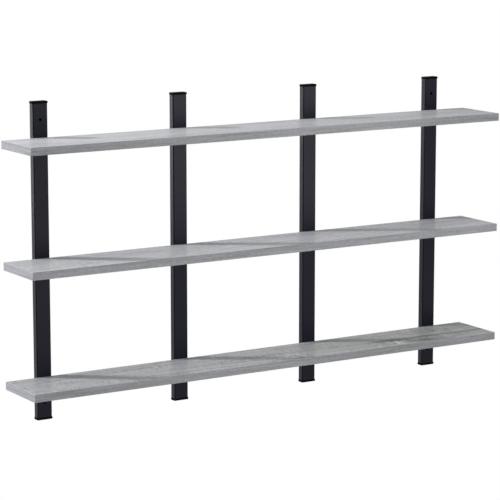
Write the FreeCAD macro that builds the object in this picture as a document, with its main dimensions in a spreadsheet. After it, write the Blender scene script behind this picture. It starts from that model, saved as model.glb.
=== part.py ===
# Wall shelf: three wood-decor boards bolted to the front of four steel uprights that screw to a wall.
# Millimetres. X runs along the boards, the front faces -Y, Z is up, and the wall is the plane y = 0.
# The origin lies in the wall plane, at the centre of the four wall-screw holes.

import FreeCAD
import Part
import Sketcher
import math
import os
from FreeCAD import Rotation, Vector

# Driving dimensions
SIZES = {
    "board_length": 1045.0,  # finished, over the end bands
    "board_depth": 122.0,  # finished, over the front and rear bands
    "board_thickness": 15.0,
    "shelf_pitch": 225.0,  # from one board to the next
    "band_thickness": 1.0,
    "band_edge_radius": 0.6,
    "tube_width": 30.0,
    "tube_depth": 15.0,
    "tube_wall": 1.2,
    "tube_outer_radius": 2.0,
    "tube_inner_radius": 1.0,
    "end_overhang": 80.0,  # board beyond the centre line of each outer upright
    "tube_overhang": 63.5,  # tube beyond the top face of the top board, and below the bottom board
    "wall_hole_diameter": 6.0,
    "wall_hole_drop": 30.0,  # from the cut end of the tube
    "cap_head_thickness": 4.0,
    "cap_head_overlap": 1.0,  # beyond the sides and the front of the tube
    "cap_corner_radius": 2.5,
    "cap_edge_radius": 1.4,
    "cap_plug_length": 17.0,
    "cap_plug_gap": 1.0,  # between the plug and the inside of the tube
    "cap_plug_wall": 1.5,
    "cap_fin_gap": 0.1,  # between the fins and the inside of the tube
    "cap_fin_thickness": 1.2,
    "bolt_diameter": 6.0,
    "bolt_protrusion": 2.2,  # past the far side of the barrel nut
    "bolt_tip_chamfer": 0.8,
    "bolt_head_diameter": 10.0,
    "bolt_head_height": 6.0,
    "bolt_head_chamfer": 0.5,
    "hex_socket_width": 5.0,  # across flats
    "hex_socket_depth": 3.0,
    "bolt_hole_clearance": 0.5,  # on the diameter, through the tube, the rear band and the core
    "bolt_bore_end_gap": 2.0,  # beyond the tip of the bolt
    "washer_diameter": 12.0,
    "washer_thickness": 1.6,
    "washer_bore_clearance": 0.4,  # on the diameter
    "access_hole_clearance": 1.0,  # on the diameter, round the washer
    "nut_diameter": 10.0,
    "nut_cover": 2.5,  # board above the nut
    "nut_setback": 30.0,  # from the rear face of the board
    "nut_bore_clearance": 0.3,  # on the diameter
    "nut_thread_clearance": 0.2,  # on the diameter
    "nut_slot_width": 1.4,
    "nut_slot_depth": 1.6,
}

UPRIGHT_COUNT = 4
SHELF_LEVELS = {"top": 1, "middle": 0, "bottom": -1}  # in steps of the shelf pitch
FIN_COUNT = 3
HEX_SIDES = 6
QUARTER_TURN = math.pi / 2
TOLERANCE = 1e-6

# Lengths that follow from the driving dimensions, as expressions on the sheet
TUBE_SPACING = f"((Sizes.board_length - 2 * Sizes.end_overhang) / {UPRIGHT_COUNT - 1})"
TUBE_LENGTH = "(2 * Sizes.shelf_pitch + Sizes.board_thickness + 2 * Sizes.tube_overhang)"
TUBE_INSIDE_WIDTH = "(Sizes.tube_width - 2 * Sizes.tube_wall)"
WALL_HOLE_HEIGHT = f"({TUBE_LENGTH} / 2 - Sizes.wall_hole_drop)"
BOARD_REAR = "(-Sizes.tube_depth)"
BOARD_FRONT = "(-Sizes.tube_depth - Sizes.board_depth)"
CORE_REAR = f"({BOARD_REAR} - Sizes.band_thickness)"
CORE_FRONT = f"({BOARD_FRONT} + Sizes.band_thickness)"
CORE_END = "(Sizes.board_length / 2 - Sizes.band_thickness)"
BOARD_END = "(Sizes.board_length / 2)"
BAND_EDGE_RADIUS = "min(Sizes.band_edge_radius; 0.8 * Sizes.band_thickness)"
CAP_EDGE_LIMIT = "0.8 * min(Sizes.cap_head_thickness; Sizes.cap_corner_radius)"
CAP_EDGE_RADIUS = f"min(Sizes.cap_edge_radius; {CAP_EDGE_LIMIT})"
CAP_FIN_PITCH = f"(Sizes.cap_plug_length / {FIN_COUNT + 1})"
FRONT_WALL_INSIDE = "(-Sizes.tube_depth + Sizes.tube_wall)"
BOLT_SEAT = f"({FRONT_WALL_INSIDE} + Sizes.washer_thickness)"
BOLT_HEAD_END = f"({BOLT_SEAT} + Sizes.bolt_head_height)"
NUT_AXIS = "(-Sizes.tube_depth - Sizes.nut_setback)"
BOLT_TIP = f"({NUT_AXIS} - Sizes.nut_diameter / 2 - Sizes.bolt_protrusion)"
BOLT_HOLE_DIAMETER = "(Sizes.bolt_diameter + Sizes.bolt_hole_clearance)"
BOLT_BORE_END = f"({BOLT_TIP} - Sizes.bolt_bore_end_gap)"
ACCESS_HOLE_DIAMETER = "(Sizes.washer_diameter + Sizes.access_hole_clearance)"
NUT_LENGTH = "(Sizes.board_thickness - 2 * Sizes.nut_cover)"

doc = FreeCAD.newDocument("WallShelf")
sheet = doc.addObject("Spreadsheet::Sheet", "Sizes")
for row, (alias, value) in enumerate(SIZES.items(), start=1):
    sheet.set(f"A{row}", str(value))
    sheet.setAlias(f"A{row}", alias)
doc.recompute()

sub_parts = []


def number(expression):
    return float(sheet.evalExpression(expression))


def upright_x(index):
    return f"({index - (UPRIGHT_COUNT - 1) / 2} * {TUBE_SPACING})"


def new_body(label, x="0", z="0"):
    body = doc.addObject("PartDesign::Body", "Body")
    body.Label = label
    body.setExpression("Placement.Base.x", x)
    body.setExpression("Placement.Base.z", z)
    sub_parts.append(body)
    return body


def origin_feature(body, role):
    return next(feature for feature in body.Origin.OriginFeatures if feature.Role == role)


def new_sketch(body, role, offset="0"):
    sketch = body.newObject("Sketcher::SketchObject", "Sketch")
    sketch.AttachmentSupport = [(origin_feature(body, role), "")]
    sketch.MapMode = "FlatFace"
    sketch.setExpression("AttachmentOffset.Base.z", offset)
    return sketch


def dimension(sketch, kind, elements, expression):
    constraint = sketch.addConstraint(Sketcher.Constraint(kind, *elements, number(expression)))
    sketch.setExpression(f"Constraints[{constraint}]", expression)


def draw_circle(sketch, x, y, diameter):
    centre = Vector(number(x), number(y), 0)
    circle = sketch.addGeometry(Part.Circle(centre, Vector(0, 0, 1), number(diameter) / 2))
    dimension(sketch, "DistanceX", (-1, 1, circle, 3), x)
    dimension(sketch, "DistanceY", (-1, 1, circle, 3), y)
    dimension(sketch, "Diameter", (circle,), diameter)


def draw_polygon(sketch, corners):
    points = [Vector(number(x), number(y), 0) for x, y in corners]
    lines = []
    for start, end in zip(points, points[1:] + points[:1]):
        lines.append(sketch.addGeometry(Part.LineSegment(start, end)))
    for line, following in zip(lines, lines[1:] + lines[:1]):
        sketch.addConstraint(Sketcher.Constraint("Coincident", line, 2, following, 1))
    for line, (x, y) in zip(lines, corners):
        dimension(sketch, "DistanceX", (-1, 1, line, 1), x)
        dimension(sketch, "DistanceY", (-1, 1, line, 1), y)


def draw_rectangle(sketch, x_start, x_end, y_start, y_end):
    corners = [(x_start, y_start), (x_end, y_start), (x_end, y_end), (x_start, y_end)]
    draw_polygon(sketch, corners)


def draw_rounded_rectangle(sketch, width, y_start, y_end, radius):
    # The rectangle lies evenly about the sketch's vertical axis.
    half, low, high, r = number(width) / 2, number(y_start), number(y_end), number(radius)
    straights = [
        ((-half + r, low), (half - r, low)),
        ((half, low + r), (half, high - r)),
        ((half - r, high), (-half + r, high)),
        ((-half, high - r), (-half, low + r)),
    ]
    centres = [(half - r, low + r), (half - r, high - r), (-half + r, high - r), (-half + r, low + r)]
    sides = []
    for start, end in straights:
        sides.append(sketch.addGeometry(Part.LineSegment(Vector(*start, 0), Vector(*end, 0))))
    corners = []
    for turn, centre in enumerate(centres):
        circle = Part.Circle(Vector(*centre, 0), Vector(0, 0, 1), r)
        arc = Part.ArcOfCircle(circle, (turn - 1) * QUARTER_TURN, turn * QUARTER_TURN)
        corners.append(sketch.addGeometry(arc))
    for side, corner, following in zip(sides, corners, sides[1:] + sides[:1]):
        sketch.addConstraint(Sketcher.Constraint("Tangent", side, 2, corner, 1))
        sketch.addConstraint(Sketcher.Constraint("Tangent", corner, 2, following, 1))
    bottom, right, top, left = sides
    sketch.addConstraint(Sketcher.Constraint("Vertical", right))
    sketch.addConstraint(Sketcher.Constraint("Horizontal", top))
    sketch.addConstraint(Sketcher.Constraint("Vertical", left))
    for corner in corners[1:]:
        sketch.addConstraint(Sketcher.Constraint("Equal", corners[0], corner))
    sketch.addConstraint(Sketcher.Constraint("Symmetric", bottom, 1, bottom, 2, -2))
    dimension(sketch, "Radius", (corners[0],), radius)
    dimension(sketch, "DistanceX", (left, 1, right, 1), width)
    dimension(sketch, "DistanceY", (-1, 1, bottom, 1), y_start)
    dimension(sketch, "DistanceY", (-1, 1, top, 1), y_end)


def pad(body, sketch, length, reverse=False):
    feature = body.newObject("PartDesign::Pad", "Pad")
    feature.Profile = sketch
    feature.Reversed = reverse
    feature.setExpression("Length", length)
    doc.recompute()
    return feature


def pocket(body, sketch, length, reverse=False):
    before = body.Shape.Volume
    feature = body.newObject("PartDesign::Pocket", "Pocket")
    feature.Profile = sketch
    feature.Reversed = reverse
    feature.setExpression("Length", length)
    doc.recompute()
    if body.Shape.Volume >= before:
        raise RuntimeError(f"{body.Label}: a pocket removes nothing")
    return feature


def round_edges(body, base, wanted, radius):
    names = [f"Edge{i}" for i, edge in enumerate(base.Shape.Edges, start=1) if wanted(edge.BoundBox)]
    feature = body.newObject("PartDesign::Fillet", "Fillet")
    feature.Base = (base, names)
    feature.setExpression("Radius", radius)
    doc.recompute()


def repeat_along(body, features, axis, length, count, reverse=False):
    pattern = body.newObject("PartDesign::LinearPattern", "LinearPattern")
    pattern.Originals = features
    pattern.Direction = (origin_feature(body, axis), [""])
    pattern.Reversed = reverse
    pattern.setExpression("Length", length)
    pattern.Occurrences = count
    body.Tip = pattern
    doc.recompute()


def repeat_at_uprights(body, features):
    repeat_along(body, features, "X_Axis", f"{UPRIGHT_COUNT - 1} * {TUBE_SPACING}", UPRIGHT_COUNT)


def level_height(level):
    return f"({level} * Sizes.shelf_pitch)"


def make_upright(index):
    body = new_body(f"upright_{index + 1}", x=upright_x(index))
    section = new_sketch(body, "XY_Plane", f"-{TUBE_LENGTH} / 2")
    draw_rounded_rectangle(section, "Sizes.tube_width", BOARD_REAR, "0", "Sizes.tube_outer_radius")
    inside = (TUBE_INSIDE_WIDTH, FRONT_WALL_INSIDE, "-Sizes.tube_wall", "Sizes.tube_inner_radius")
    draw_rounded_rectangle(section, *inside)
    pad(body, section, TUBE_LENGTH)

    # The bolts pass the front wall, and go in through wider holes in the rear wall.
    bolt_holes = new_sketch(body, "XZ_Plane")
    access_holes = new_sketch(body, "XZ_Plane")
    for level in SHELF_LEVELS.values():
        draw_circle(bolt_holes, "0", level_height(level), BOLT_HOLE_DIAMETER)
        draw_circle(access_holes, "0", level_height(level), ACCESS_HOLE_DIAMETER)
    pocket(body, bolt_holes, "Sizes.tube_depth", reverse=True)
    pocket(body, access_holes, "Sizes.tube_depth / 2", reverse=True)

    # Only the outer uprights are screwed to the wall.
    if index in (0, UPRIGHT_COUNT - 1):
        wall_holes = new_sketch(body, "XZ_Plane")
        draw_circle(wall_holes, "0", WALL_HOLE_HEIGHT, "Sizes.wall_hole_diameter")
        draw_circle(wall_holes, "0", f"-{WALL_HOLE_HEIGHT}", "Sizes.wall_hole_diameter")
        pocket(body, wall_holes, "Sizes.tube_depth", reverse=True)


def draw_plug_section(sketch, gap):
    width = f"{TUBE_INSIDE_WIDTH} - 2 * {gap}"
    front, rear = f"{FRONT_WALL_INSIDE} + {gap}", f"-Sizes.tube_wall - {gap}"
    draw_rounded_rectangle(sketch, width, front, rear, "Sizes.tube_inner_radius")
    hollow_wall = "(Sizes.tube_wall + Sizes.cap_plug_gap + Sizes.cap_plug_wall)"
    half_hollow = f"(Sizes.tube_width / 2 - {hollow_wall})"
    hollow_front = f"-Sizes.tube_depth + {hollow_wall}"
    draw_rectangle(sketch, f"-{half_hollow}", half_hollow, hollow_front, f"-{hollow_wall}")


def make_cap(index, end, direction):
    # The lip closes the end of the tube, and is flush with it on the wall side.
    height = f"{direction} * {TUBE_LENGTH} / 2"
    body = new_body(f"upright_{index + 1}_{end}_cap", x=upright_x(index), z=height)
    if direction < 0:
        body.Placement.Rotation = Rotation(Vector(0, 1, 0), 180)
    lip = new_sketch(body, "XY_Plane")
    lip_width = "Sizes.tube_width + 2 * Sizes.cap_head_overlap"
    lip_front = f"{BOARD_REAR} - Sizes.cap_head_overlap"
    draw_rounded_rectangle(lip, lip_width, lip_front, "0", "Sizes.cap_corner_radius")
    pad(body, lip, "Sizes.cap_head_thickness")

    plug = new_sketch(body, "XY_Plane")
    draw_plug_section(plug, "Sizes.cap_plug_gap")
    pad(body, plug, "Sizes.cap_plug_length", reverse=True)

    fin = new_sketch(body, "XY_Plane", f"-{CAP_FIN_PITCH}")
    draw_plug_section(fin, "Sizes.cap_fin_gap")
    first_fin = pad(body, fin, "Sizes.cap_fin_thickness", reverse=True)
    fin_span = f"{FIN_COUNT - 1} * {CAP_FIN_PITCH}"
    repeat_along(body, [first_fin], "Z_Axis", fin_span, FIN_COUNT, reverse=True)

    top = number("Sizes.cap_head_thickness")
    round_edges(body, body.Tip, lambda box: abs(box.ZMin - top) < TOLERANCE, CAP_EDGE_RADIUS)


def draw_bolt_row(sketch, diameter):
    for index in range(UPRIGHT_COUNT):
        draw_circle(sketch, upright_x(index), "0", diameter)


def make_slab(label, level, x_start, x_end, y_start, y_end):
    body = new_body(label, z=level_height(level))
    outline = new_sketch(body, "XY_Plane", "-Sizes.board_thickness / 2")
    draw_rectangle(outline, x_start, x_end, y_start, y_end)
    slab = pad(body, outline, "Sizes.board_thickness")
    return body, slab


def make_core(shelf, level):
    body, _ = make_slab(f"shelf_{shelf}_core", level, f"-{CORE_END}", CORE_END, CORE_FRONT, CORE_REAR)
    bolt_bores = new_sketch(body, "XZ_Plane")
    draw_bolt_row(bolt_bores, BOLT_HOLE_DIAMETER)
    pocket(body, bolt_bores, f"-{BOLT_BORE_END}", reverse=True)

    # Each nut lies against the blind end of its bore, which opens on the underside.
    nut_bores = new_sketch(body, "XY_Plane", "-Sizes.board_thickness / 2")
    for index in range(UPRIGHT_COUNT):
        bore_diameter = "Sizes.nut_diameter + Sizes.nut_bore_clearance"
        draw_circle(nut_bores, upright_x(index), NUT_AXIS, bore_diameter)
    pocket(body, nut_bores, "Sizes.board_thickness - Sizes.nut_cover", reverse=True)


def make_long_bands(shelf, level):
    # The front band's long outer edges are rounded, and the bolts pass the rear band.
    ends = (f"-{CORE_END}", CORE_END)
    front, slab = make_slab(f"shelf_{shelf}_front_band", level, *ends, BOARD_FRONT, CORE_FRONT)
    front_face = number(BOARD_FRONT)

    def along_front(box):
        return abs(box.YMax - front_face) < TOLERANCE and box.ZLength < TOLERANCE

    round_edges(front, slab, along_front, BAND_EDGE_RADIUS)

    rear, _ = make_slab(f"shelf_{shelf}_rear_band", level, *ends, CORE_REAR, BOARD_REAR)
    bolt_holes = new_sketch(rear, "XZ_Plane")
    draw_bolt_row(bolt_holes, BOLT_HOLE_DIAMETER)
    pocket(rear, bolt_holes, f"-{CORE_REAR}", reverse=True)


def make_end_band(shelf, level, end, direction):
    outside, inside = f"{direction} * {BOARD_END}", f"{direction} * {CORE_END}"
    x_start, x_end = sorted((outside, inside), key=number)
    label = f"shelf_{shelf}_{end}_band"
    body, slab = make_slab(label, level, x_start, x_end, BOARD_FRONT, BOARD_REAR)
    outer_face = number(outside)

    def around_outside(box):
        return abs(box.Center.x - outer_face) < TOLERANCE and box.XLength < TOLERANCE

    round_edges(body, slab, around_outside, BAND_EDGE_RADIUS)


def make_bolts(shelf, level):
    body = new_body(f"shelf_{shelf}_bolts", x=upright_x(0), z=level_height(level))
    half_head, half_shank = "Sizes.bolt_head_diameter / 2", "Sizes.bolt_diameter / 2"
    profile = new_sketch(body, "XY_Plane")
    draw_polygon(
        profile,
        [
            ("0", BOLT_TIP),
            (f"{half_shank} - Sizes.bolt_tip_chamfer", BOLT_TIP),
            (half_shank, f"{BOLT_TIP} + Sizes.bolt_tip_chamfer"),
            (half_shank, BOLT_SEAT),
            (half_head, BOLT_SEAT),
            (half_head, f"{BOLT_HEAD_END} - Sizes.bolt_head_chamfer"),
            (f"{half_head} - Sizes.bolt_head_chamfer", BOLT_HEAD_END),
            ("0", BOLT_HEAD_END),
        ],
    )
    turned = body.newObject("PartDesign::Revolution", "Revolution")
    turned.Profile = profile
    turned.ReferenceAxis = (profile, ["V_Axis"])
    turned.Angle = 360
    doc.recompute()

    hexagon = new_sketch(body, "XZ_Plane", f"-{BOLT_HEAD_END}")
    across_corners = "(Sizes.hex_socket_width / cos(30 deg))"
    corners = []
    for side in range(HEX_SIDES):
        angle = f"{side * 360 / HEX_SIDES} deg"
        corners.append((f"{across_corners} / 2 * cos({angle})", f"{across_corners} / 2 * sin({angle})"))
    draw_polygon(hexagon, corners)
    socket = pocket(body, hexagon, "Sizes.hex_socket_depth", reverse=True)
    repeat_at_uprights(body, [turned, socket])


def make_washers(shelf, level):
    body = new_body(f"shelf_{shelf}_washers", x=upright_x(0), z=level_height(level))
    ring = new_sketch(body, "XZ_Plane", f"-{BOLT_SEAT}")
    draw_circle(ring, "0", "0", "Sizes.washer_diameter")
    draw_circle(ring, "0", "0", "Sizes.bolt_diameter + Sizes.washer_bore_clearance")
    washer = pad(body, ring, "Sizes.washer_thickness")
    repeat_at_uprights(body, [washer])


def make_barrel_nuts(shelf, level):
    body = new_body(f"shelf_{shelf}_barrel_nuts", x=upright_x(0), z=level_height(level))
    section = new_sketch(body, "XY_Plane", f"-{NUT_LENGTH} / 2")
    draw_circle(section, "0", NUT_AXIS, "Sizes.nut_diameter")
    barrel = pad(body, section, NUT_LENGTH)

    thread = new_sketch(body, "XZ_Plane")
    draw_circle(thread, "0", "0", "Sizes.bolt_diameter + Sizes.nut_thread_clearance")
    thread_hole = pocket(body, thread, f"-{BOLT_TIP}", reverse=True)

    # A slot across the open end turns the nut until its thread faces the bolt.
    slot = new_sketch(body, "XY_Plane", f"-{NUT_LENGTH} / 2")
    half_width, half_length = "(Sizes.nut_slot_width / 2)", "(Sizes.nut_diameter / 2)"
    slot_ends = (f"{NUT_AXIS} - {half_length}", f"{NUT_AXIS} + {half_length}")
    draw_rectangle(slot, f"-{half_width}", half_width, *slot_ends)
    slot_cut = pocket(body, slot, "Sizes.nut_slot_depth", reverse=True)
    repeat_at_uprights(body, [barrel, thread_hole, slot_cut])


for upright in range(UPRIGHT_COUNT):
    make_upright(upright)
    make_cap(upright, "top", 1)
    make_cap(upright, "bottom", -1)

for shelf_name, shelf_level in SHELF_LEVELS.items():
    make_core(shelf_name, shelf_level)
    make_long_bands(shelf_name, shelf_level)
    make_end_band(shelf_name, shelf_level, "left", -1)
    make_end_band(shelf_name, shelf_level, "right", 1)
    make_bolts(shelf_name, shelf_level)
    make_washers(shelf_name, shelf_level)
    make_barrel_nuts(shelf_name, shelf_level)

doc.recompute()
for item in doc.Objects:
    if "Invalid" in item.State or "Error" in item.State:
        raise RuntimeError(f"{item.Label}: {item.State}")
for sub_part in sub_parts:
    if sub_part.Shape.isNull() or not sub_part.Shape.isValid():
        raise RuntimeError(f"{sub_part.Label}: the shape is not valid")

os.makedirs("parts", exist_ok=True)
for sub_part in sub_parts:
    sub_part.Shape.exportStep(f"parts/{sub_part.Label}.step")
    print(sub_part.Label, len(sub_part.Shape.Solids), round(sub_part.Shape.Volume, 1))
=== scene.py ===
import math

import bmesh
import bpy
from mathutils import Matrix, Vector


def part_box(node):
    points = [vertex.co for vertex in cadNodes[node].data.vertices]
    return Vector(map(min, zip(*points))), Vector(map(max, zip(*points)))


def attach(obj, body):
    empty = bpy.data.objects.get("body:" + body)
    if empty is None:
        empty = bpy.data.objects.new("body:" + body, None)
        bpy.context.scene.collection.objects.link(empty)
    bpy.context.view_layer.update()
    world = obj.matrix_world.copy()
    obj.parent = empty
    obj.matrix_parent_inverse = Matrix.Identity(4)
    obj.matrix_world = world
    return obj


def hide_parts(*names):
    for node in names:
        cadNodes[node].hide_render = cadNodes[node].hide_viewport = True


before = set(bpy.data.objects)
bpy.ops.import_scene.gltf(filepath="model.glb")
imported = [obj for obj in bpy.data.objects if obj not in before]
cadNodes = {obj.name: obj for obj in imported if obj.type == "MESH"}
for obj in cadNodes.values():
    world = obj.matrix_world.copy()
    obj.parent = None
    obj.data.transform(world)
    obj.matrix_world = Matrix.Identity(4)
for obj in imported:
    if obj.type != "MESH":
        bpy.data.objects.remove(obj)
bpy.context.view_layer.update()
mm = 0.001  # the finishes are described in millimetres
print("frame loaded:", len(cadNodes), "nodes")


# Small helpers for node trees
def fill(tree, node, inputs):
    for key, value in inputs.items():
        if isinstance(value, bpy.types.NodeSocket):
            tree.links.new(value, node.inputs[key])
        else:
            node.inputs[key].default_value = value


def put(tree, kind, inputs, **settings):
    node = tree.nodes.new(kind)
    for name, value in settings.items():
        setattr(node, name, value)
    fill(tree, node, inputs)
    return node


def calc(tree, operation, *values, clamp=False):
    sockets = dict(enumerate(values))
    return put(tree, "ShaderNodeMath", sockets, operation=operation, use_clamp=clamp).outputs[0]


def calcVector(tree, operation, *values):
    return put(tree, "ShaderNodeVectorMath", dict(enumerate(values)), operation=operation).outputs[0]


def chain(tree, operation, terms):
    result = terms[0]
    for term in terms[1:]:
        result = calc(tree, operation, result, term)
    return result


def total(tree, *terms):
    return chain(tree, "ADD", terms)


def product(tree, *terms):
    return chain(tree, "MULTIPLY", terms)


def hypotenuse(tree, first, second):
    return calc(tree, "SQRT", total(tree, product(tree, first, first), product(tree, second, second)))


def spread(tree, noise, reach):  # from 0..1 to either side of zero
    return calc(tree, "MULTIPLY_ADD", noise, 2 * reach, -reach)


def smooth(tree, value, low, high, start=0.0, end=1.0):
    sockets = {"Value": value, "From Min": low, "From Max": high, "To Min": start, "To Max": end}
    return put(tree, "ShaderNodeMapRange", sockets, interpolation_type="SMOOTHSTEP").outputs[0]


def fallOff(tree, value, low, high):
    return smooth(tree, value, low, high, 1.0, 0.0)


def split(tree, vector):
    return put(tree, "ShaderNodeSeparateXYZ", {0: vector}).outputs


def blendColour(tree, factor, first, second, blend="MIX"):
    sockets = {0: factor, 6: first, 7: second}
    return put(tree, "ShaderNodeMix", sockets, data_type="RGBA", blend_type=blend).outputs[2]


def stretchedNoise(tree, place, along, across, detail, roughness):
    sized = calcVector(tree, "MULTIPLY", place, (along, across, across))
    sockets = {"Vector": sized, "Scale": 1.0, "Detail": detail, "Roughness": roughness}
    return put(tree, "ShaderNodeTexNoise", sockets).outputs[0]


def newGroup(name, inputs, outputs):
    tree = bpy.data.node_groups.new(name, "ShaderNodeTree")
    for label, kind in inputs.items():
        tree.interface.new_socket(label, in_out="INPUT", socket_type="NodeSocket" + kind)
    for label, kind in outputs.items():
        tree.interface.new_socket(label, in_out="OUTPUT", socket_type="NodeSocket" + kind)
    given = tree.nodes.new("NodeGroupInput").outputs
    result = tree.nodes.new("NodeGroupOutput")
    return tree, given, result


def placeGroup(tree, group, inputs):
    return put(tree, "ShaderNodeGroup", inputs, node_tree=group).outputs


def newFinish(name):
    material = bpy.data.materials.new(name)
    material.use_nodes = True
    tree = material.node_tree
    shader = tree.nodes["Principled BSDF"]
    place = tree.nodes.new("ShaderNodeTexCoord").outputs["Object"]
    return material, tree, shader, place


def addBump(tree, shader, height, depth, strength):
    bump = put(tree, "ShaderNodeBump", {"Height": height, "Distance": depth * mm, "Strength": strength})
    tree.links.new(bump.outputs[0], shader.inputs["Normal"])


# Sawn oak decor: tapering growth rings with a dark heart, fibres, pores and saw marks across the grain
# A pair of numbers is where an effect begins and where it is full or over
oakLook = {
    "warpReach": 9.0,  # mm that the rings wander across the grain
    "toneContrast": 0.26,
    "fibreContrast": 0.36,
    "speckContrast": 0.26,
    "poreContrast": 0.17,
    "ringJitter": 0.5,  # of a ring, by which the fibres fray its edge
    "lateRise": (0.30, 0.86),  # of a ring, where its dark late wood grows
    "lateFall": (0.90, 1.0),
    "lateFade": (0.42, 0.66),  # of the noise that lets the rings come and go
    "poreRange": (0.56, 0.70),
    "poresInRing": (0.0, 0.7, 1.0, 0.35),  # of a ring, and the pores' strength there
    "heartWidth": 10.0,  # mm
    "heartRun": 80.0,  # mm over which the heart fades in
    "heartTaper": (60.0, 200.0, 0.5, 1.0),  # mm from its start over which it thins, and how much
    "flameRun": (-170.0, -40.0),  # mm from its start over which the wood about it darkens
    "flameWidth": 60.0,  # mm
    "flameDepth": 0.2,  # of the heart's darkness
    "scuffWidth": 40.0,  # mm
    "scuffRun": (220.0, 330.0),  # mm from the heart's start where the scuffs beside it fade out
    "scuffSide": (-8.0, 2.0),  # mm across it, so that they lie on its front side
    "scuffWeight": 8.0,
    "sawSlant": 10.0,  # degrees from square to the grain
    "strokeRange": (0.40, 0.64),
    "strokeCut": (0.5, 1.0, 1.0, 0.35),  # of a stroke, and what it leaves of the rings there
    "patchRange": (0.48, 0.68),
    "patchWeight": (0.3, 3.0),  # of the strokes outside and inside their patches
    "tickWeight": 2.4,  # of the short ticks beside the long strokes
    "tickPatch": (0.4, 1.6),  # more than the strokes outside patches, and the most inside
    "nickPlace": (88.0, -27.0, 0.0),  # mm along and across the heart, where a few pale nicks lie
    "nickReach": {"X": (5.5, 12.1), "Y": (8.5, 18.7)},  # mm from there where they end
    "nickRange": (0.50, 0.60),
    "nickContrast": 1.3,
    "tintRun": (-440.0, -80.0),  # mm from the heart's start over which the tint fades in
    "tint": (0.985, 1.0, 0.94, 1.0),
    "light": (0.65, 0.652, 0.700, 1.0),
    "dark": (0.165, 0.172, 0.160, 1.0),
    "roughness": (0.66, 0.52),  # of dark and of light wood
    "gloss": {"Specular IOR Level": 0.10, "Coat Weight": 0.115, "Coat Roughness": 0.16},
    "fibreRelief": 0.4,
    "strokeRelief": 0.25,
    "lateRelief": 0.3,
    "bump": (0.12, 0.5),  # mm deep, and its strength
}
grainNoise = {  # cells per mm along and across the grain, detail and roughness
    "warp": (0.0032, 0.022, 2.0, 0.5),
    "tone": (0.0028, 0.032, 3.0, 0.55),
    "fading": (0.0045, 0.030, 2.0, 0.5),
    "fibre": (0.012, 0.42, 5.0, 0.62),
    "speck": (0.13, 0.30, 3.0, 0.6),
    "pore": (0.055, 1.9, 2.0, 0.5),
    "patch": (0.010, 0.022, 1.0, 0.5),
}
sawNoise = {  # the same, turned with the saw
    "stroke": (0.24, 0.024, 3.0, 0.6),
    "tick": (0.26, 0.075, 2.0, 0.5),
}


# Growth rings: arches about the flame's centre line, straight streaks beside it
def drawRings(tree, given, noise, along, across):
    arch = hypotenuse(tree, across, given["Flame Width"])
    slope = product(tree, along, given["Flame Taper"])
    depth = calc(tree, "DIVIDE", calc(tree, "SUBTRACT", arch, slope), given["Ring Spacing"])
    ring = calc(tree, "FRACT", calc(tree, "MULTIPLY_ADD", noise["fibre"], oakLook["ringJitter"], depth))
    lateWood = product(
        tree,
        smooth(tree, ring, *oakLook["lateRise"]),
        fallOff(tree, ring, *oakLook["lateFall"]),
        smooth(tree, noise["fading"], *oakLook["lateFade"]),
    )
    pore = product(
        tree,
        smooth(tree, noise["pore"], *oakLook["poreRange"]),
        smooth(tree, ring, *oakLook["poresInRing"]),
    )
    return lateWood, pore


# Dark heart along the flame's centre line, and the scuffs on its front side
def drawHeart(tree, given, along, sideways, across):
    inFlame = smooth(tree, along, 0.0, oakLook["heartRun"])
    fromHeart = product(tree, across, smooth(tree, along, *oakLook["heartTaper"]))
    heart = product(tree, fallOff(tree, fromHeart, 0.0, oakLook["heartWidth"]), inFlame)
    flame = product(
        tree,
        fallOff(tree, across, 0.0, oakLook["flameWidth"]),
        smooth(tree, along, *oakLook["flameRun"]),
    )
    darkHeart = calc(tree, "MULTIPLY_ADD", flame, oakLook["flameDepth"], heart)
    scuffed = product(
        tree,
        fallOff(tree, across, 0.0, oakLook["scuffWidth"]),
        inFlame,
        fallOff(tree, along, *oakLook["scuffRun"]),
        fallOff(tree, sideways, *oakLook["scuffSide"]),
    )
    strength = given["Heart Strength"]
    return product(tree, darkHeart, strength), product(tree, scuffed, strength)


# Saw marks: long strokes that gather in patches and beside the heart, and short ticks
def drawSawMarks(tree, given, noise, stroke, scuffed):
    patchy = smooth(tree, noise["patch"], *oakLook["patchRange"], *oakLook["patchWeight"])
    weight = calc(tree, "MULTIPLY_ADD", scuffed, oakLook["scuffWeight"], patchy)
    strokes = product(tree, calc(tree, "SUBTRACT", stroke, 0.5), weight)
    ticks = spread(tree, noise["tick"], oakLook["tickWeight"])
    more, most = oakLook["tickPatch"]
    tickPatch = calc(tree, "MINIMUM", calc(tree, "ADD", patchy, more), most)
    marks = calc(tree, "MULTIPLY_ADD", ticks, tickPatch, strokes)
    return product(tree, marks, given["Saw Strength"])


def drawNicks(tree, given, noise, centred):
    toNicks = split(tree, calcVector(tree, "SUBTRACT", centred, oakLook["nickPlace"]))
    nearby = [
        fallOff(tree, calc(tree, "ABSOLUTE", toNicks[axis]), *reach)
        for axis, reach in oakLook["nickReach"].items()
    ]
    nicked = smooth(tree, noise["stroke"], *oakLook["nickRange"])
    return product(tree, nicked, *nearby, given["Heart Strength"], oakLook["nickContrast"])


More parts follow.
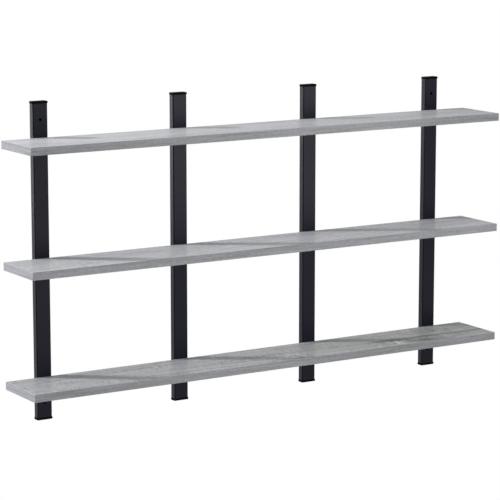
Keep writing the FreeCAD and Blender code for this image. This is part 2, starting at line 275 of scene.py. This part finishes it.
def buildOakFigure():
    inputs = {
        "Vector": "Vector", "Shift": "Vector", "Flame Centre": "Vector", "Flame Width": "Float",
        "Flame Taper": "Float", "Ring Spacing": "Float", "Ring Strength": "Float", "Heart Strength": "Float",
        "Saw Strength": "Float", "Shade": "Float",
    }
    outputs = {"Color": "Color", "Roughness": "Float", "Height": "Float"}
    tree, given, result = newGroup("oakFigure", inputs, outputs)
    scaled = {0: given["Vector"], "Scale": 1.0 / mm}
    flat = put(tree, "ShaderNodeVectorMath", scaled, operation="SCALE").outputs[0]
    moved = calcVector(tree, "ADD", flat, given["Shift"])
    slanted = put(tree, "ShaderNodeVectorRotate", {
        "Vector": moved, "Axis": (0.0, 0.0, 1.0), "Angle": math.radians(oakLook["sawSlant"]),
    }).outputs[0]
    noise = {name: stretchedNoise(tree, moved, *field) for name, field in grainNoise.items()}
    for name, field in sawNoise.items():
        noise[name] = stretchedNoise(tree, slanted, *field)

    centred = calcVector(tree, "SUBTRACT", flat, given["Flame Centre"])
    spot = split(tree, centred)
    along = spot["X"]
    sideways = total(tree, spot["Y"], spread(tree, noise["warp"], oakLook["warpReach"]))
    across = calc(tree, "ABSOLUTE", sideways)
    lateWood, pore = drawRings(tree, given, noise, along, across)
    heart, scuffed = drawHeart(tree, given, along, sideways, across)
    stroke = smooth(tree, noise["stroke"], *oakLook["strokeRange"])
    pale = total(
        tree,
        given["Shade"],
        spread(tree, noise["tone"], oakLook["toneContrast"]),
        spread(tree, noise["fibre"], oakLook["fibreContrast"]),
        spread(tree, noise["speck"], oakLook["speckContrast"]),
        drawSawMarks(tree, given, noise, stroke, scuffed),
        drawNicks(tree, given, noise, centred),
    )
    dark = total(
        tree,
        product(tree, lateWood, given["Ring Strength"], smooth(tree, stroke, *oakLook["strokeCut"])),
        heart,
        product(tree, pore, oakLook["poreContrast"]),
    )
    shade = calc(tree, "SUBTRACT", pale, dark, clamp=True)

    plain = blendColour(tree, shade, oakLook["dark"], oakLook["light"])
    tinted = product(tree, smooth(tree, along, *oakLook["tintRun"]), given["Heart Strength"])
    raised = total(
        tree,
        product(tree, noise["fibre"], oakLook["fibreRelief"]),
        product(tree, stroke, oakLook["strokeRelief"]),
    )
    hollow = total(tree, pore, product(tree, lateWood, oakLook["lateRelief"]))
    fill(tree, result, {
        "Color": blendColour(tree, tinted, plain, oakLook["tint"], "MULTIPLY"),
        "Roughness": smooth(tree, shade, 0.0, 1.0, *oakLook["roughness"]),
        "Height": calc(tree, "SUBTRACT", raised, hollow),
    })
    return tree


# Particle board, seen only in the bores of the cores
chipLook = {
    "chipSize": (2.6, 1.4, 1.0),  # mm, along the board, across it and through it
    "light": (0.52, 0.38, 0.23, 1.0),
    "dark": (0.20, 0.12, 0.062, 1.0),
    "roughness": 0.8,
}


def buildParticleChips():
    outputs = {"Color": "Color", "Height": "Float"}
    tree, given, result = newGroup("particleChips", {"Vector": "Vector"}, outputs)
    stretch = tuple(1.0 / (size * mm) for size in chipLook["chipSize"])
    sized = calcVector(tree, "MULTIPLY", given["Vector"], stretch)
    cells = put(tree, "ShaderNodeTexVoronoi", {"Vector": sized, "Scale": 1.0}).outputs
    tone = split(tree, cells["Color"])[0]
    fill(tree, result, {
        "Color": blendColour(tree, tone, chipLook["dark"], chipLook["light"]),
        "Height": calc(tree, "SUBTRACT", tone, cells["Distance"]),
    })
    return tree


# Where a face turns from one direction to another, on a rounded edge
def buildRoundedEdge():
    tree, given, result = newGroup("roundedEdge", {"Start": "Float", "Full": "Float"}, {"Mask": "Float"})
    normal = tree.nodes.new("ShaderNodeTexCoord").outputs["Normal"]
    largest = chain(tree, "MAXIMUM", split(tree, calcVector(tree, "ABSOLUTE", normal)))
    turned = calc(tree, "SUBTRACT", 1.0, largest)
    fill(tree, result, {"Mask": smooth(tree, turned, given["Start"], given["Full"])})
    return tree


# Fine grain of a sprayed, moulded or plated surface, and its slow unevenness
gritLook = {
    "detail": {"Grain": 3.0, "Patch": 4.0},
    "range": (0.28, 0.72),  # of the noise, which is widened to 0..1
}


def buildFineGrit():
    inputs = {"Vector": "Vector", "Grain": "Float", "Patch": "Float"}
    tree, given, result = newGroup("fineGrit", inputs, {"Height": "Float", "Mottle": "Float"})
    for label, size in (("Height", "Grain"), ("Mottle", "Patch")):
        scale = calc(tree, "DIVIDE", 1.0 / mm, given[size])
        sockets = {"Vector": given["Vector"], "Scale": scale, "Detail": gritLook["detail"][size]}
        noise = put(tree, "ShaderNodeTexNoise", sockets).outputs[0]
        fill(tree, result, {label: smooth(tree, noise, *gritLook["range"])})
    return tree


oakFigure = buildOakFigure()
particleChips = buildParticleChips()
roundedEdge = buildRoundedEdge()
fineGrit = buildFineGrit()
print("shader groups ready")


def placeDecor(tree, place, look):
    return placeGroup(tree, oakFigure, {
        "Vector": place, "Shift": look["shift"], "Flame Centre": look["flame"], "Flame Width": look["width"],
        "Flame Taper": look["taper"], "Ring Spacing": look["spacing"], "Ring Strength": look["strength"],
        "Heart Strength": look["heart"], "Saw Strength": look["saw"], "Shade": look["shade"],
    })


def placeEdge(tree, turn):
    start, full = turn
    return placeGroup(tree, roundedEdge, {"Start": start, "Full": full})["Mask"]


def placeGrit(tree, place, look):
    return placeGroup(tree, fineGrit, {"Vector": place, "Grain": look["grain"], "Patch": look["patch"]})


# Each board has its own stretch of the decor; places in millimetres
# the shades are partly the decor's own tone and partly painted light and shade, set to each board's
# brightness under these lamps; the bottom board's is lowered for the weaker fill light under the boards
# above
boardFigures = {
    "top": {"shift": (0, 0, 0), "flame": (-150, -95, 0), "width": 22, "taper": 0.07, "spacing": 17,
            "strength": 0.14, "heart": 0.0, "saw": 0.03, "shade": 0.61},
    "middle": {"shift": (900, 340, 60), "flame": (180, -60, 0), "width": 26, "taper": -0.08, "spacing": 19,
               "strength": 0.20, "heart": 0.08, "saw": 0.07, "shade": 0.64},
    "bottom": {"shift": (2300, 610, 25), "flame": (210, -92, 0), "width": 14, "taper": 0.04, "spacing": 18,
               "strength": 0.22, "heart": 0.55, "saw": 0.08, "shade": 0.48},
}
boardDepth = 7.45  # mm from the middle of a board to just under its decor


def makeBoardFinish(shelf, look):
    material, tree, shader, place = newFinish(shelf + "BoardDecor")
    decor = placeDecor(tree, place, look)
    chips = placeGroup(tree, particleChips, {"Vector": place})
    low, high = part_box(f"shelf_{shelf}_core")
    rise = calc(tree, "SUBTRACT", split(tree, place)["Z"], (low.z + high.z) / 2)
    onFace = calc(tree, "GREATER_THAN", calc(tree, "ABSOLUTE", rise), boardDepth * mm)
    height = put(tree, "ShaderNodeMix", {0: onFace, 2: chips["Height"], 3: decor["Height"]}).outputs[0]
    chipRoughness = calc(tree, "SUBTRACT", chipLook["roughness"], onFace)
    fill(tree, shader, {
        "Base Color": blendColour(tree, onFace, chips["Color"], decor["Color"]),
        "Roughness": calc(tree, "MAXIMUM", decor["Roughness"], chipRoughness),
        **oakLook["gloss"],
    })
    addBump(tree, shader, height, *oakLook["bump"])
    return material


# Edge bands: grain along the strip, plain plastic where the rounded edges are scraped; the end bands carry
# painted light, paler on the lower boards
bandLook = {
    "front": {"shift": (150, 70, 0), "flame": (0, 40, 0), "width": 60, "taper": 0.012, "spacing": 7,
              "strength": 0.10, "heart": 0.0, "saw": 0.0, "shade": 0.47, "turn": (-90, 0, 0),
              "scraped": (0.34, 0.342, 0.35, 1.0)},
    "end": {"shift": (700, 20, 0), "flame": (0, 30, 0), "width": 40, "taper": 0.03, "spacing": 8,
            "strength": 0.16, "heart": 0.0, "saw": 0.0, "turn": (-90, -90, 0),
            "scraped": (0.46, 0.462, 0.475, 1.0)},
    # painted light: the end bands are paler on the lower boards to make up for the key lamp's weaker light
    # there
    "endShadesPaintedLight": {"top": 0.68, "middle": 0.75, "bottom": 0.82},
    "edgeTurn": (0.03, 0.2),
}


def makeBandFinish(name, look):
    material, tree, shader, place = newFinish(name)
    turn = [math.radians(angle) for angle in look["turn"]]
    strip = put(tree, "ShaderNodeMapping", {"Vector": place, "Rotation": turn}).outputs[0]
    decor = placeDecor(tree, strip, look)
    scraped = placeEdge(tree, bandLook["edgeTurn"])
    fill(tree, shader, {
        "Base Color": blendColour(tree, scraped, decor["Color"], look["scraped"]),
        "Roughness": decor["Roughness"],
        **oakLook["gloss"],
    })
    addBump(tree, shader, decor["Height"], *oakLook["bump"])
    return material


# Satin black powder coat: fine orange peel, with painted shade darkening the front corners of the tubes,
# which are also duller
coatLook = {
    "grain": 0.9,  # mm
    "patch": 60.0,
    "colour": (0.0120, 0.0115, 0.0225, 1.0),
    # painted shade: the near-black colour put on the tubes' front corners
    "corner": (0.002, 0.002, 0.004, 1.0),
    "cornerTurn": (0.004, 0.08),
    "frontTurn": (-0.5, -0.1),  # of the normal's y, so that the painted shade stays off the corners at the wall
    "roughness": (0.28, 0.33),
    "cornerRoughness": 0.8,
    "specular": 0.14,
    "bump": (0.012, 0.35),
}


def makeCoatFinish():
    material, tree, shader, place = newFinish("blackPowderCoat")
    grit = placeGrit(tree, place, coatLook)
    facing = split(tree, place.node.outputs["Normal"])["Y"]
    inFront = fallOff(tree, facing, *coatLook["frontTurn"])
    # mask of the front corners, where shade is painted and the coat is made duller
    corner = product(tree, placeEdge(tree, coatLook["cornerTurn"]), inFront)
    onFaces = smooth(tree, grit["Mottle"], 0.0, 1.0, *coatLook["roughness"])
    fill(tree, shader, {
        "Base Color": blendColour(tree, corner, coatLook["colour"], coatLook["corner"]),
        "Roughness": smooth(tree, corner, 0.0, 1.0, onFaces, coatLook["cornerRoughness"]),
        "Specular IOR Level": coatLook["specular"],
    })
    addBump(tree, shader, grit["Height"], *coatLook["bump"])
    return material


# Moulded black caps: spark-eroded texture, worn a little smoother on the edges
capLook = {
    "grain": 0.35,
    "patch": 14.0,
    "colours": ((0.0028, 0.0028, 0.0034, 1.0), (0.0052, 0.0052, 0.0060, 1.0)),
    "edgeTurn": (0.03, 0.28),
    "roughness": (0.70, 0.52),  # on the faces, and on the rounded edges
    "specular": 0.03,
    "bump": (0.04, 0.5),
}


def makeCapFinish():
    material, tree, shader, place = newFinish("blackCapPlastic")
    grit = placeGrit(tree, place, capLook)
    edge = placeEdge(tree, capLook["edgeTurn"])
    fill(tree, shader, {
        "Base Color": blendColour(tree, grit["Mottle"], *capLook["colours"]),
        "Roughness": smooth(tree, edge, 0.0, 1.0, *capLook["roughness"]),
        "Specular IOR Level": capLook["specular"],
    })
    addBump(tree, shader, grit["Height"], *capLook["bump"])
    return material


# Bright zinc plate on the fasteners
zincLook = {
    "grain": 0.25,
    "patch": 2.2,
    "colours": ((0.46, 0.47, 0.50, 1.0), (0.66, 0.67, 0.69, 1.0)),
    "roughness": (0.44, 0.26),  # of the dull and of the bright patches
    "bump": (0.01, 0.4),
}


def makeZincFinish():
    material, tree, shader, place = newFinish("brightZinc")
    grit = placeGrit(tree, place, zincLook)
    fill(tree, shader, {
        "Base Color": blendColour(tree, grit["Mottle"], *zincLook["colours"]),
        "Roughness": smooth(tree, grit["Mottle"], 0.0, 1.0, *zincLook["roughness"]),
        "Metallic": 1.0,
    })
    addBump(tree, shader, grit["Height"], *zincLook["bump"])
    return material


coatFinish = makeCoatFinish()
capFinish = makeCapFinish()
zincFinish = makeZincFinish()
frontBandFinish = makeBandFinish("frontBandDecor", bandLook["front"])
# one end-band finish per board, differing only by painted light
endBandFinishesPaintedLight = {
    shelf: makeBandFinish(shelf + "EndDecorPaintedLight", {**bandLook["end"], "shade": shade})
    for shelf, shade in bandLook["endShadesPaintedLight"].items()
}
boardFinishes = {shelf: makeBoardFinish(shelf, look) for shelf, look in boardFigures.items()}
print("finishes ready")


def finishFor(name):
    if name.endswith("_cap"):
        return capFinish
    if name.startswith("upright"):
        return coatFinish
    if name.endswith("_core"):
        return boardFinishes[name.split("_")[1]]
    if name.endswith(("_left_band", "_right_band")):
        return endBandFinishesPaintedLight[name.split("_")[1]]
    return frontBandFinish if name.endswith("_band") else zincFinish


for name, piece in cadNodes.items():
    piece.data.materials.clear()
    piece.data.materials.append(finishFor(name))
print("finishes on the frame's nodes")

# Socket-head bolts with a knurled head and a cut thread, one row of four on each board; sizes in mm
boltLook = {
    "headRadius": 5.0,
    "headHeight": 6.0,
    "headChamfer": 0.5,
    "plainRim": 0.7,  # below the knurl
    "ease": 0.1,  # small step that breaks an edge
    "socketFlat": 2.5,  # from the axis to a flat
    "socketRim": 3.125,
    "socketLip": 0.3,
    "socketDepth": 3.0,
    "socketCone": 0.7,
    "shankRadius": 3.0,
    "shankFillet": 0.15,
    "tipChamfer": 0.8,
    "knurls": 24,
    "knurlDepth": 0.22,
    "threadLength": 20.0,
    "threadPitch": 1.0,
    "threadDepth": 0.45,
    "threadRunOut": 0.4,
    "rowsPerTurn": 3,
    "sharpAngle": 28.0,  # degrees
    "count": 4,
    "seed": 7,
}


def boltRadius(look, kind, radius, along, angle):
    if kind == "socket":
        sixth = math.pi / 3
        return radius / math.cos((angle + sixth / 2) % sixth - sixth / 2)
    if kind == "knurl":
        return radius - look["knurlDepth"] * (0.5 - 0.5 * math.cos(look["knurls"] * angle))
    if kind == "thread":
        turn = (along / look["threadPitch"] - angle / (2 * math.pi)) % 1.0
        return radius - look["threadDepth"] * abs(2 * turn - 1)
    return radius


# Rings of the bolt from the bottom of its socket to its tip: kind, radius and distance along the axis
def boltRows(look, length):
    head, shank, chamfer, ease = (look[key] for key in ("headRadius", "shankRadius", "headChamfer", "ease"))
    under, rim, fillet = look["headHeight"], look["plainRim"], look["shankFillet"]
    threadStart = length - look["tipChamfer"] - look["threadLength"]
    rows = [
        ("socket", look["socketFlat"], look["socketDepth"]),
        ("socket", look["socketFlat"], look["socketLip"]),
        ("round", look["socketRim"], 0.0),
        ("round", head - chamfer, 0.0),
        ("round", head - ease, chamfer - ease),
        ("knurl", head, chamfer + 2 * ease),
        ("knurl", head, under - rim),
        ("round", head - ease, under - rim + 2 * ease),
        ("round", head - 2 * ease, under),
        ("round", shank + fillet, under),
        ("round", shank, under + 2 * fillet),
        ("round", shank, threadStart - look["threadRunOut"]),
    ]
    steps = int(look["threadLength"] / look["threadPitch"] * look["rowsPerTurn"])
    for step in range(steps + 1):
        rows.append(("thread", shank, threadStart + step * look["threadLength"] / steps))
    rows.append(("round", shank - look["tipChamfer"], length))
    return rows


def makeBoltMesh(look, length):
    sides = 2 * look["knurls"]
    form = bmesh.new()
    rings = []
    for kind, radius, along in boltRows(look, length):
        ring = []
        for side in range(sides):
            angle = 2 * math.pi * side / sides
            reach = boltRadius(look, kind, radius, along, angle)
            spot = Vector((reach * math.cos(angle), -along, reach * math.sin(angle)))
            ring.append(form.verts.new(spot * mm))
        rings.append(ring)
    for ring, following in zip(rings, rings[1:]):
        for side in range(sides):
            other = (side + 1) % sides
            form.faces.new((ring[side], ring[other], following[other], following[side]))
    socketEnd = form.verts.new((0, -(look["socketDepth"] + look["socketCone"]) * mm, 0))
    tipEnd = form.verts.new((0, -length * mm, 0))
    for centre, ring in ((socketEnd, rings[0]), (tipEnd, rings[-1])):
        for side in range(sides):
            form.faces.new((centre, ring[side], ring[(side + 1) % sides]))
    bmesh.ops.recalc_face_normals(form, faces=form.faces)
    mesh = bpy.data.meshes.new("socketBolt")
    form.to_mesh(mesh)
    form.free()
    return mesh


def buildFastenerRow():
    tree = bpy.data.node_groups.new("fastenerRow", "GeometryNodeTree")
    inputs = {
        "Fastener": "NodeSocketObject", "Count": "NodeSocketInt", "First": "NodeSocketVector",
        "Step": "NodeSocketVector", "Turn": "NodeSocketVector", "Seed": "NodeSocketInt",
        "Finish": "NodeSocketMaterial",
    }
    for label, kind in inputs.items():
        tree.interface.new_socket(label, in_out="INPUT", socket_type=kind)
    tree.interface.new_socket("Geometry", in_out="OUTPUT", socket_type="NodeSocketGeometry")
    given = tree.nodes.new("NodeGroupInput").outputs
    line = put(tree, "GeometryNodeMeshLine", {
        "Count": given["Count"], "Start Location": given["First"], "Offset": given["Step"],
    }, mode="OFFSET")
    source = put(tree, "GeometryNodeObjectInfo", {"Object": given["Fastener"], "As Instance": True})
    spin = put(tree, "FunctionNodeRandomValue", {"Max": given["Turn"], "Seed": given["Seed"]},
               data_type="FLOAT_VECTOR")
    row = put(tree, "GeometryNodeInstanceOnPoints", {
        "Points": line.outputs["Mesh"], "Instance": source.outputs["Geometry"], "Rotation": spin.outputs[0],
    })
    solid = put(tree, "GeometryNodeRealizeInstances", {"Geometry": row.outputs[0]})
    coloured = put(tree, "GeometryNodeSetMaterial", {
        "Geometry": solid.outputs[0], "Material": given["Finish"],
    })
    put(tree, "NodeGroupOutput", {"Geometry": coloured.outputs[0]})
    return tree


def makeFastenerRow(name, tree, values, sharpAngle):
    holder = bpy.data.objects.new(name + "Holder", bpy.data.meshes.new(name + "Holder"))
    bpy.context.scene.collection.objects.link(holder)
    modifier = holder.modifiers.new("row", "NODES")
    modifier.node_group = tree
    for item in tree.interface.items_tree:
        if item.in_out == "INPUT":
            modifier[item.identifier] = values[item.name]
    graph = bpy.context.evaluated_depsgraph_get()
    mesh = bpy.data.meshes.new_from_object(holder.evaluated_get(graph), depsgraph=graph)
    bpy.data.objects.remove(holder)
    for face in mesh.polygons:
        face.use_smooth = True
    mesh.set_sharp_from_angle(angle=math.radians(sharpAngle))
    piece = bpy.data.objects.new(name, mesh)
    bpy.context.scene.collection.objects.link(piece)
    return piece


fastenerRow = buildFastenerRow()
for shelf in boardFigures:
    low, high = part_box(f"shelf_{shelf}_bolts")
    firstX, lastX = low.x + boltLook["headRadius"] * mm, high.x - boltLook["headRadius"] * mm
    boltLength = (high.y - low.y) / mm
    master = bpy.data.objects.new("boltMaster", makeBoltMesh(boltLook, boltLength))
    bpy.context.scene.collection.objects.link(master)
    bolts = makeFastenerRow(f"{shelf}ShelfBolts", fastenerRow, {
        "Fastener": master,
        "Count": boltLook["count"],
        "First": (firstX, high.y, (low.z + high.z) / 2),
        "Step": ((lastX - firstX) / (boltLook["count"] - 1), 0.0, 0.0),
        "Turn": (0.0, math.pi / 3, 0.0),
        "Seed": boltLook["seed"] + len(shelf),
        "Finish": zincFinish,
    }, boltLook["sharpAngle"])
    bpy.data.objects.remove(master)
    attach(bolts, "root")
    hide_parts(f"shelf_{shelf}_bolts")
print("bolt rows made")

# Pale floor well below the hung shelf, fading into the white background
floorLook = {
    "height": -1.2,  # m
    "reach": 30.0,
    "colour": (0.84, 0.84, 0.84, 1.0),
    "roughness": 0.9,
    "lift": 0.2,
    "fade": (1.0, 2.1),  # m from under the shelf
}


def seenDirectly(tree):
    path = tree.nodes.new("ShaderNodeLightPath").outputs
    rays = [path[f"Is {kind} Ray"] for kind in ("Camera", "Glossy", "Transmission")]
    return chain(tree, "MAXIMUM", rays)


def makeFloor(look):
    reach, height = look["reach"], look["height"]
    turns = ((-1, -1), (1, -1), (1, 1), (-1, 1))
    corners = [(reach * x, reach * y, height) for x, y in turns]
    mesh = bpy.data.meshes.new("paleFloor")
    mesh.from_pydata(corners, [], [(0, 1, 2, 3)])
    floor = bpy.data.objects.new("paleFloor", mesh)
    bpy.context.scene.collection.objects.link(floor)
    material, tree, shader, place = newFinish("paleFloor")
    fill(tree, shader, {
        "Base Color": look["colour"],
        "Roughness": look["roughness"],
        "Specular IOR Level": 0.0,
    })
    seen = seenDirectly(tree)
    lift = put(tree, "ShaderNodeEmission", {"Strength": product(tree, seen, look["lift"])})
    near = put(tree, "ShaderNodeAddShader", {0: shader.outputs[0], 1: lift.outputs[0]})
    far = put(tree, "ShaderNodeEmission", {"Strength": 1.0})
    spot = split(tree, place)
    radius = hypotenuse(tree, spot["X"], spot["Y"])
    share = product(tree, seen, smooth(tree, radius, *look["fade"]))
    mixed = put(tree, "ShaderNodeMixShader", {0: share, 1: near.outputs[0], 2: far.outputs[0]})
    fill(tree, tree.nodes["Material Output"], {"Surface": mixed.outputs[0]})
    mesh.materials.append(material)


makeFloor(floorLook)

# Studio light; places and sizes in metres
worldLook = {"light": 0.20, "colour": (0.97, 0.98, 1.0, 1.0), "background": (1.0, 1.0, 1.0, 1.0)}
lampRig = {
    # small key from behind on the left, which casts the shadows of the uprights
    "keyLamp": {"place": (-1.95, 1.13, 1.65), "aim": (0.0, -0.07, 0.0), "size": (0.24, 0.24), "power": 51.0},
    # slim lamp further behind, which the left sides of the uprights mirror
    "sideLamp": {"place": (-1.06, 1.8, 0.08), "aim": (-0.2, 0.0, 0.1), "size": (0.2, 0.6), "power": 2.3},
    # wide lamp above
    "topLamp": {"place": (-0.5, -0.5, 1.5), "aim": (0.0, -0.08, 0.0), "size": (1.6, 1.2), "power": 10.4},
    # lamp in front on the right, which the fronts of the uprights mirror
    "frontLamp": {"place": (0.42, -0.8, 0.16), "aim": (0.1, -0.1, 0.0), "size": (0.6, 0.5), "power": 2.2},
    # weak fill in front on the left
    "leftLamp": {"place": (-0.34, -0.8, -0.1), "aim": (-0.25, -0.1, -0.1), "size": (0.4, 0.4), "power": 1.1},
}


def addLamp(name, look):
    data = bpy.data.lights.new(name, "AREA")
    data.shape = "RECTANGLE"
    data.size, data.size_y = look["size"]
    data.energy = look["power"]
    lamp = bpy.data.objects.new(name, data)
    bpy.context.scene.collection.objects.link(lamp)
    lamp.location = look["place"]
    aim = Vector(look["aim"]) - Vector(look["place"])
    lamp.rotation_euler = aim.to_track_quat("-Z", "Y").to_euler()
    lamp.visible_camera = False


def makeWorld(look):
    world = bpy.data.worlds.new("studio")
    bpy.context.scene.world = world
    world.use_nodes = True
    tree = world.node_tree
    tree.nodes.clear()
    light = put(tree, "ShaderNodeBackground", {"Color": look["colour"], "Strength": look["light"]})
    white = put(tree, "ShaderNodeBackground", {"Color": look["background"], "Strength": 1.0})
    seen = seenDirectly(tree)
    mixed = put(tree, "ShaderNodeMixShader", {0: seen, 1: light.outputs[0], 2: white.outputs[0]})
    put(tree, "ShaderNodeOutputWorld", {"Surface": mixed.outputs[0]})


for name, look in lampRig.items():
    addLamp(name, look)
makeWorld(worldLook)
bpy.context.scene.view_settings.view_transform = "Standard"
print("floor and lights ready")

# Camera at the photograph's viewing angle
cameraView = {
    "place": (-2.2705, -3.7212, 0.7424),  # m
    "turn": 31.594,  # degrees from straight ahead
    "dip": 9.913,  # degrees below level
    "lens": 162.3,  # mm
    "sensor": 36.0,  # mm
}


def addCamera(look):
    data = bpy.data.cameras.new("photoCamera")
    data.sensor_width = look["sensor"]
    data.lens = look["lens"]
    camera = bpy.data.objects.new("photoCamera", data)
    bpy.context.scene.collection.objects.link(camera)
    camera.location = look["place"]
    camera.rotation_euler = (math.radians(90 - look["dip"]), 0.0, math.radians(-look["turn"]))
    bpy.context.scene.camera = camera


addCamera(cameraView)
print("camera ready")
